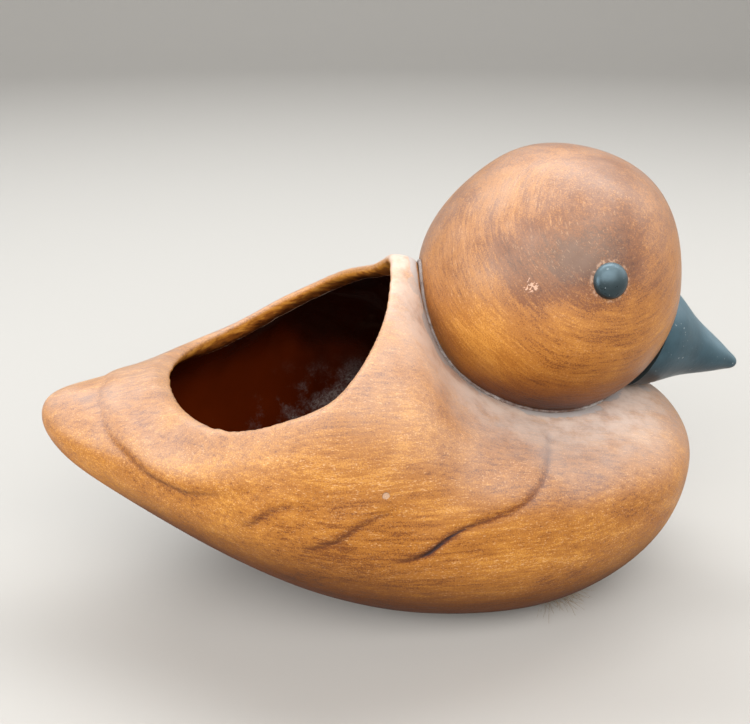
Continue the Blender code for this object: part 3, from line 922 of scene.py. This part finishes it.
def stained(where, strokes, patches, dabbed=None):
    """Brown stain brushed over fired clay: (tone, fine strokes, grain, worn specks that are partly painted
    glints) from stroke coordinates.

    dabbed is how far the stain was dabbed on instead of brushed.
    """
    broad = patches.noise(0.040, 3.0, 0.55, 0.6)
    band = strokes.noise(0.20, 4.0, 0.6, 0.3)
    fine = strokes.noise(1.1, 2.0, 0.6)
    if dabbed:
        band = dabbed.blend(band, where.noise(0.16, 5.0, 0.65))
        fine = dabbed.blend(fine, where.noise(1.0, 2.0, 0.6))
    grain = where.noise(2.6, 1.0, 0.5)
    tone = broad * 0.55 + band * 0.34 + fine * 0.60 + grain * 0.55 - TONE_DROP
    dots = strokes.stretched((3.5, 1.0, 1.0)).noise(3.2, 1.0, 0.5)
    specks = (dots + band * 0.25).range(0.73, 0.86) * tone.range(0.30, 0.60, 0.3, 1.0)
    return tone, fine, grain, specks


def dust_sheen_and_shade(colour, where, facing, share, under, dust_and_sheen=DUST_AND_SHEEN, lowest=-0.1):
    """Pale dust and a painted sheen on whatever faces up past lowest, and painted shade, partly thicker
    stain, on whatever faces down.
    """
    patchy = where.noise(0.07, 3.0, 0.55).range(0.3, 0.7, 0.75, 1.15)
    colour = (facing.range(lowest, 0.95, 0.0, share) * patchy).mix(colour, dust_and_sheen)
    return facing.range(-0.15, -0.72).mix(colour, under, "MULTIPLY")


def unglazed_band(where, rim):
    """Colour of the streaky gold band between the lip and the glaze, with painted shade that darkens it
    further below the lip.
    """
    streaks = where.stretched((0.30, 0.30, 1.1)).noise(0.6, 4.0, 0.65)
    return (streaks - rim.range(1.0, GLAZE_DEPTH + 0.6) * 0.42).ramp(BAND_STOPS)


def neck_residue_and_painted_light(where, crease, along):
    """Shares of the thin film round the neck, partly a real film and partly painted light that lifts the
    head's shadow, and of the ragged slip close to its groove.
    """
    film_and_painted_light = crease.range(27.0, 3.0) * where.noise(0.12, 5.0, 0.65).range(0.30, 0.62, 0.35, 1.0)
    stretch = where.noise(0.075, 3.0, 0.6).range(0.40, 0.60) * 2.6 + along.range(34.0, 12.0, 0.0, 1.4)
    close = (crease + where.noise(0.8, 4.0, 0.7) * 2.4 - stretch).range(1.9, 1.1)
    for centre, radius in SLIP_PATCHES:
        close = close.larger(where.vector("ABSOLUTE").spot(centre, radius, 0.8) * 0.75)
    return film_and_painted_light, close


def bowl_glaze(where, along, height):
    """The dark glaze's colour, lighter towards the tail and with painted shade towards the neck under the
    collar, darker high up the wall; and the share of dry powder low down.
    """
    glaze_tone_and_shade = where.noise(0.03, 3.0, 0.5, 0.5) * 0.5 + along.range(12.0, -52.0, 0.0, 0.40)
    glaze_tone_and_shade = glaze_tone_and_shade + height.range(56.0, 78.0, 0.0, -0.30)
    cloudy = where.noise(0.06, 5.0, 0.7) + along.range(-60.0, -8.0, -0.16, 0.08)
    powder = cloudy.range(0.42, 0.66) * height.range(60.0, 40.0)
    powder = powder * where.noise(1.1, 4.0, 0.8).range(0.35, 0.65, 0.2, 1.0)
    return (powder * 0.70).mix(glaze_tone_and_shade.ramp(GLAZE_STOPS), POWDER), powder


def body_finish():
    finish = Finish("stained_body")
    where, facing = finish.place(), finish.facing()
    along, _, height = where.split()
    strokes = where.stretched((0.085, 1.0, 1.0))
    tone, fine, grain, specks = stained(where, strokes, where.stretched((0.6, 1.0, 1.3)))

    # stain pooled in the relief's lines, almost black where it is thickest
    stain = finish.attribute("stain")
    smear = strokes.noise(0.5, 4.0, 0.7)
    pooled = stain * smear.range(0.25, 0.75, 0.55, 1.0)
    thick = stain.range(0.62, 0.95) * smear.range(0.34, 0.56)
    colour = (tone - pooled * 0.34).ramp(STAIN_STOPS)
    # worn specks, partly painted glints
    colour = (specks * 0.45).mix(colour, WORN_AND_GLINT)
    colour = (pooled * 0.30).mix(colour, POOLED)
    colour = (thick * 0.85).mix(colour, THICK)
    # painted shade underneath, partly thicker stain, lighter under the tail; dust and painted sheen on top
    under = along.range(-108.0, -78.0).mix(TAIL_UNDERSIDE_STAIN_AND_SHADE, UNDERSIDE_STAIN_AND_SHADE)
    colour = dust_sheen_and_shade(colour, where, facing, BODY_DUST_AND_SHEEN_SHARE, under)

    # the lip is rubbed pale, and the band below it has no glaze
    rim = finish.attribute("glaze")
    colour = (finish.attribute("lip") * grain.range(0.35, 0.7) * 0.4).mix(colour, RUBBED_LIP)
    inside = rim.range(0.6, 2.2)
    colour = inside.mix(colour, unglazed_band(where, rim))

    # grey dust and slip left in the groove round the neck, and a pale film that also paints light into the
    # head's shadow
    film_and_painted_light, close = neck_residue_and_painted_light(where, finish.attribute("crease"), along)
    residue_and_painted_light = (film_and_painted_light * 0.78).larger(close * 0.85) * rim.range(0.5, 0.0)
    colour = residue_and_painted_light.mix(colour, close.mix(FILM_AND_PAINTED_LIGHT, SMEARED_SLIP))

    # a small chip on the flank
    chip = where.spot(CHIP_AT, CHIP_RADIUS)
    colour = (chip * 0.6).mix(colour, CHIPPED)

    # dark glossy glaze inside the bowl, dusty towards the bottom
    edge = rim + where.noise(0.12, 2.0, 0.5) * 1.6
    glazed = edge.range(GLAZE_DEPTH + 0.65, GLAZE_DEPTH + 0.95)
    glaze, powder = bowl_glaze(where, along, height)
    colour = glazed.mix(colour, glaze)

    rough = fine.range(0.3, 0.7, BODY_ROUGHNESS - 0.07, BODY_ROUGHNESS + 0.07)
    rough = rough + residue_and_painted_light.larger(pooled) * 0.25 + facing.range(-0.1, -0.6, 0.0, 0.3)
    rough = glazed.blend(inside.blend(rough, 0.30), powder.blend(0.08, 0.5))
    relief = fine * 0.6 + grain * 0.4 - chip * 2.0
    relief = glazed.blend(relief, where.noise(0.08, 1.0, 0.4) * 14.0 + 1.5)
    return finish.finished(relief, 0.10, Base_Color=colour, Roughness=rough, IOR=CLAY_IOR,
                           Specular_Tint=WARM_SHEEN)


def head_strokes(where):
    """Brush strokes that ring STROKE_POLE on each side of the head.

    Gives their coordinates, the place from the head's centre turned to one side, and how far the stain
    was dabbed on: near the pole and down the middle, where strokes would meet.
    """
    x, y, z = where.vector("SUBTRACT", tuple(HEAD_CENTRE)).split()
    left = (y + (where.noise(0.12, 3.0, 0.6) - 0.5) * 16.0).math("GREATER_THAN")
    one_side = joined(x, y * (left * 2.0 - 1.0), z)
    upright = Vector((0, 0, 1))
    axis, angle = tuple(STROKE_POLE.cross(upright)), STROKE_POLE.angle(upright)
    across, around, up = where.add("VectorRotate", {"Vector": one_side, "Axis": axis, "Angle": angle},
                                   rotation_type="AXIS_ANGLE").split()
    from_pole = up.math("DIVIDE", HEAD_HALF[2] + 1).math("ARCCOSINE") * HEAD_HALF[2]
    arc = from_pole + left * 90.0 + where.noise(0.035, 1.0, 0.5) * 7.0
    near_middle = y.math("ABSOLUTE").range(16.0, 5.0, 0.0, 0.85)
    dabbed = from_pole.range(34.0, 8.0, 0.15, 1.0).larger(near_middle)
    return joined(across * 0.13, around * 0.13, arc), one_side, dabbed


def head_finish():
    finish = Finish("stained_head")
    where, facing = finish.place(), finish.facing()
    strokes, one_side, dabbed = head_strokes(where)
    tone, fine, grain, specks = stained(where, strokes, where, dabbed)
    # painted shade: the stain darker where the head faces up, under its painted sheen
    tone = tone - facing.range(0.0, 0.95, 0.02, 0.15)
    for centre, radius, change in HEAD_PATCHES:
        tone = tone + where.vector("ABSOLUTE").distance(centre).range(radius, radius * 0.2, 0.0, change)
    # worn specks, partly painted glints
    colour = (specks * 0.22).mix(tone.ramp(STAIN_STOPS), WORN_AND_GLINT)
    # dust and painted sheen on top, painted shade, partly thicker stain, underneath
    colour = dust_sheen_and_shade(colour, where, facing, HEAD_DUST_AND_SHEEN_SHARE, HEAD_UNDERSIDE_STAIN_AND_SHADE, HEAD_DUST_AND_SHEEN, -0.35)

    # a scratch on the cheek, and clay rubbed bare round the eyes
    scratch = where.spot(SCRATCH_AT, SCRATCH_RADIUS, 0.3) * where.noise(0.75, 2.0, 0.5, 1.0).range(0.55, 0.60)
    colour = (scratch * 0.6).mix(colour, SCRATCHED)
    ring = one_side.distance(EYE_PLACE).range(EYE_RADIUS + 1.3, EYE_RADIUS + 0.5)
    colour = (ring * where.noise(0.9, 3.0, 0.6).range(0.42, 0.62) * 0.45).mix(colour, EYE_RING)
    rough = fine.range(0.3, 0.7, HEAD_ROUGHNESS - 0.07, HEAD_ROUGHNESS + 0.07)
    return finish.finished(fine * 0.7 + grain * 0.3, 0.12, Base_Color=colour, Roughness=rough,
                           IOR=CLAY_IOR, Specular_Tint=WARM_SHEEN)


def slip_finish():
    finish = Finish("pale_slip")
    where = finish.place()
    # brown stain on the slip, partly painted shade in the neck's groove, down to about half of it where x is
    # under 14
    slip_stain_and_shade = where.noise(0.09, 4.0, 0.6).range(0.60, 0.42) * where.split()[0].range(14.0, 34.0, 0.45, 1.0)
    colour = slip_stain_and_shade.mix(where.noise(0.35, 5.0, 0.65).ramp(SLIP_STOPS), SLIP_STAIN_AND_SHADE)
    return finish.finished(where.noise(1.1, 4.0, 0.7), 0.25, Base_Color=colour, Roughness=0.85)


def paint_finish(name, colours, roughness, dust_and_sheen):
    """Blue-black paint with brush marks, dust specks and fine scratches, a painted sheen of the light above
    on top and painted shade underneath.
    """
    finish = Finish(name)
    where = finish.place()
    cloud = where.noise(0.12, 4.0, 0.6)
    speck = where.noise(0.75, 1.0, 0.4).range(0.74, 0.78)
    scratch = where.stretched((0.25, 1.2, 1.9)).noise(0.8, 2.0, 0.6).range(0.72, 0.76)
    marks = speck.larger(scratch * 0.3)
    shade = (marks * 0.4).mix(cloud.range(0.35, 0.7).mix(*colours), PAINT_MARKS)
    # painted sheen on top, painted shade underneath
    shade = dust_sheen_and_shade(shade, where, finish.facing(), dust_and_sheen, PAINT_UNDERSIDE_SHADE, PAINT_SHEEN)
    rough = cloud.range(0.3, 0.7, roughness - 0.05, roughness + 0.06)
    return finish.finished(where.noise(0.5, 3.0, 0.5) + speck * 0.6, 0.07, Base_Color=shade,
                           Roughness=rough, IOR=PAINT_IOR, Specular_Tint=COOL_SHEEN)


def felt_finish():
    finish = Finish("tan_felt")
    nap = finish.place().noise(1.6, 5.0, 0.75, 0.8)
    return finish.finished(nap, 0.3, Base_Color=nap.ramp(FELT_STOPS), Roughness=0.95, Sheen_Weight=0.4,
                           Sheen_Roughness=0.5)


def floor_finish():
    return Finish("pale_floor").finished(Base_Color=FLOOR_COLOUR, Roughness=0.9)


# ---- stage --------------------------------------------------------------------------------
def build_camera():
    ahead = Vector((math.sin(CAMERA_YAW), math.cos(CAMERA_YAW), 0.0))
    forward = ahead * math.cos(CAMERA_ELEVATION) - Vector((0, 0, math.sin(CAMERA_ELEVATION)))
    right = Vector((math.cos(CAMERA_YAW), -math.sin(CAMERA_YAW), 0.0))
    up = right.cross(forward)
    data = bpy.data.cameras.new("camera")
    data.sensor_width = 36.0
    data.lens = CAMERA_LENS
    data.clip_start, data.clip_end = 0.01, 20.0
    camera = new_object("camera", data)
    place = Matrix((right, up, -forward)).transposed().to_4x4()
    place.translation = CAMERA_TARGET - forward * CAMERA_DISTANCE
    camera.matrix_world = place
    bpy.context.scene.camera = camera


def softbox(name, place, target, size, power, colour):
    data = bpy.data.lights.new(name, "AREA")
    data.shape = "RECTANGLE"
    data.size, data.size_y = size
    data.energy = power
    data.color = colour
    lamp = new_object(name, data)
    lamp.location = place
    lamp.rotation_euler = (Vector(target) - Vector(place)).to_track_quat("-Z", "Y").to_euler()


def build_stage():
    """A pale floor that sweeps up into a backdrop all round, soft lights and an even sky."""
    rings = [(FLOOR_RADIUS / 3, 0.0), (FLOOR_RADIUS, 0.0)]
    rings += [(FLOOR_RADIUS + FLOOR_CURVE * math.sin(a), FLOOR_CURVE * (1 - math.cos(a)))
              for a in (math.radians(10 * k) for k in range(1, 10))]
    rings.append((FLOOR_RADIUS + FLOOR_CURVE, FLOOR_TOP))
    points = [(0.0, 0.0, 0.0)]
    for radius, height in rings:
        points += [(radius / MM * math.cos(a), radius / MM * math.sin(a), height / MM)
                   for a in circle(FLOOR_SEGMENTS)]
    faces = fan(0, 1, FLOOR_SEGMENTS)
    faces += [face[::-1] for face in strips(len(rings), FLOOR_SEGMENTS, first=1)]
    floor = mesh_object("studio_floor", points, faces)
    floor.data.shade_smooth()
    floor.data.materials.append(floor_finish())
    world = bpy.data.worlds.new("studio")
    world.use_nodes = True
    background = world.node_tree.nodes["Background"]
    background.inputs["Color"].default_value = (*SKY_COLOUR, 1.0)
    background.inputs["Strength"].default_value = SKY_STRENGTH
    bpy.context.scene.world = world
    for name, values in LIGHTS.items():
        softbox(name, *values)


def dress(piece, material, slot, *nodes):
    """Gives a piece its finish, joins it to the frame and hides the CAD nodes it stands for."""
    piece.data.materials.clear()
    piece.data.materials.append(material)
    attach(piece, "root")
    if nodes:
        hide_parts(*nodes)


bpy.context.scene.view_settings.view_transform = "Standard"
build_camera()
build_stage()
dress(build_body(), body_finish(), "stained_clay", "body_shell")
dress(build_head(), head_finish(), "stained_head", "head_shell")
dress(build_joint(), slip_finish(), "pale_slip", "neck_slip_joint")
beak_paint = paint_finish("slate_beak", BEAK_PAINT, BEAK_ROUGHNESS, BEAK_SHEEN_SHARE)
dress(build_beak(), beak_paint, "slate_paint", "beak")
eye_paint = paint_finish("eye_paint", EYE_PAINT, EYE_ROUGHNESS, EYE_SHEEN_SHARE)
dress(build_eye("duck_eye_right", -1), eye_paint, "eye_paint", "eye_right")
dress(build_eye("duck_eye_left", 1), eye_paint, "eye_paint", "eye_left")
felt, felt_centre, felt_half, felt_thick = build_felt()
fringe = build_fringe(felt_centre, felt_half, felt_thick)
wool = felt_finish()
dress(felt, wool, "felt", "base_felt")
dress(fringe, wool, "felt")
2 * felt_half[1] * MM
2 * felt_half[0] * MM
math.pi * felt_half[0] * felt_half[1] * MM * MM
